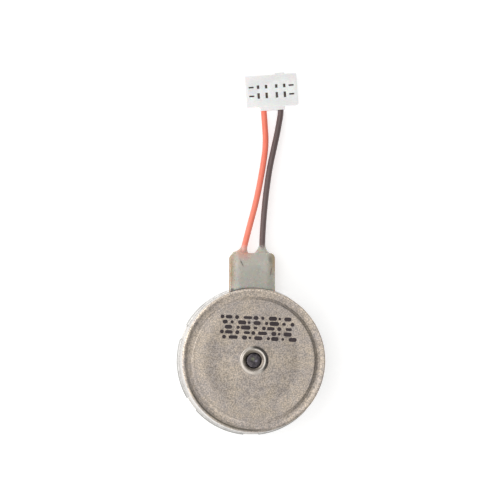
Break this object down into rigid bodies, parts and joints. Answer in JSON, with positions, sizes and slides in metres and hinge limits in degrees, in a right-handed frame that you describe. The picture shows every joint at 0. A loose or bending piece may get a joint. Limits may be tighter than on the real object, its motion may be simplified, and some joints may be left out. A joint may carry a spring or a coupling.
{
  "type": "vibration coin motor",
  "caption": "Flat round vibration motor in a drawn metal can, with a terminal tab, two short leads and a small plug.",
  "frame": {"origin": "centre of the adhesive face that the motor is mounted by, on the motor's axis", "axes": "+Z along the motor's axis and out of the closed end of the case, +Y towards the terminal tab and the leads"},
  "size_m": [0.0104, 0.0255, 0.0031],
  "materials": {
    "drawn_steel": "satin nickel-plated",
    "shaft_steel": "ground, oiled",
    "adhesive_tape": "matt",
    "washer_film": "satin",
    "polyimide": "satin",
    "copper": "satin",
    "magnet_nickel": "satin plated",
    "spring_alloy": "polished",
    "bearing_bronze": "sintered",
    "gold_plate": "polished",
    "board_laminate": "satin",
    "coil_wire": "enamelled",
    "tungsten_alloy": "sintered",
    "moulding_resin": "moulded",
    "red_insulation": "satin",
    "black_insulation": "satin",
    "tinned_strands": "tinned",
    "solder": "bright",
    "cured_glue": "cloudy gloss",
    "plug_plastic": "satin",
    "contact_metal": "tin-plated"
  },
  "bodies": {
    "stator": {"adhesive_pad": "adhesive_tape", "base_plate": "drawn_steel", "shaft": "shaft_steel", "lower_thrust_washer": "washer_film", "upper_thrust_washer": "washer_film", "top_case": "drawn_steel", "flex_circuit": "polyimide", "copper_track_red": "copper", "copper_track_black": "copper", "ring_magnet": "magnet_nickel", "brush_red": "spring_alloy", "brush_black": "spring_alloy", "lead_red": "red_insulation", "lead_black": "black_insulation", "lead_core_red": "tinned_strands", "lead_core_black": "tinned_strands", "solder_red": "solder", "solder_black": "solder", "glue_cap": "cured_glue", "plug_housing": "plug_plastic", "contact_red": "contact_metal", "contact_black": "contact_metal"},
    "rotor": {"rotor_moulding": "moulding_resin", "rotor_board": "board_laminate", "commutator": "gold_plate", "coil_left": "coil_wire", "coil_right": "coil_wire", "counterweight": "tungsten_alloy", "bearing": "bearing_bronze"}
  },
  "joints": [
    {"name": "rotor_spin", "type": "hinge", "parent": "stator", "child": "rotor", "pos_m": [0, 0, 0.0018], "axis": [0, 0, 1], "continuous": true}
  ]
}
